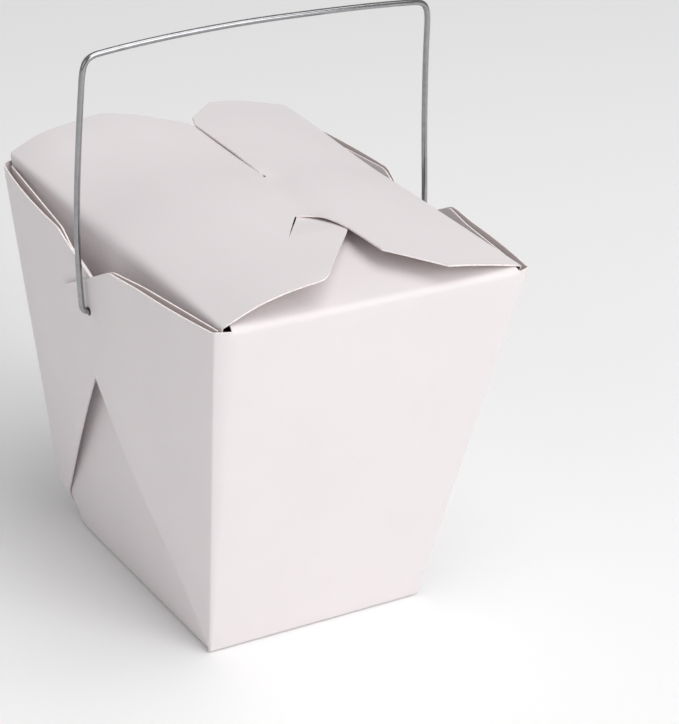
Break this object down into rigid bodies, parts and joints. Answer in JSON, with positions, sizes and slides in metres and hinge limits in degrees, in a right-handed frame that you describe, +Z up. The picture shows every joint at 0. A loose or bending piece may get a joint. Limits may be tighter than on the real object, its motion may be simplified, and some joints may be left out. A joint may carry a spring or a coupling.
{
  "type": "noodle takeaway box",
  "caption": "Shut white paperboard takeaway pail, tapered to its base, with interlocked top flaps, folded side gussets and a hinged wire bail.",
  "frame": {"origin": "centre of the base, on the surface that the box stands on", "axes": "+Z up; the wire walls face +X and -X, with the bail's hinge along X at mid depth; the plain front wall faces -Y"},
  "size_m": [0.1163, 0.1244, 0.1675],
  "materials": {
    "board": "smooth white coated paperboard, soft sheen",
    "wire": "bright drawn steel wire"
  },
  "bodies": {
    "box": {"carton": "board"},
    "bail": {"handle": "wire"}
  },
  "joints": [
    {"name": "bail_swing", "type": "hinge", "parent": "box", "child": "bail", "pos_m": [0, 0, 0.0897], "axis": [1, 0, 0], "range_deg": [-132, 132]}
  ]
}
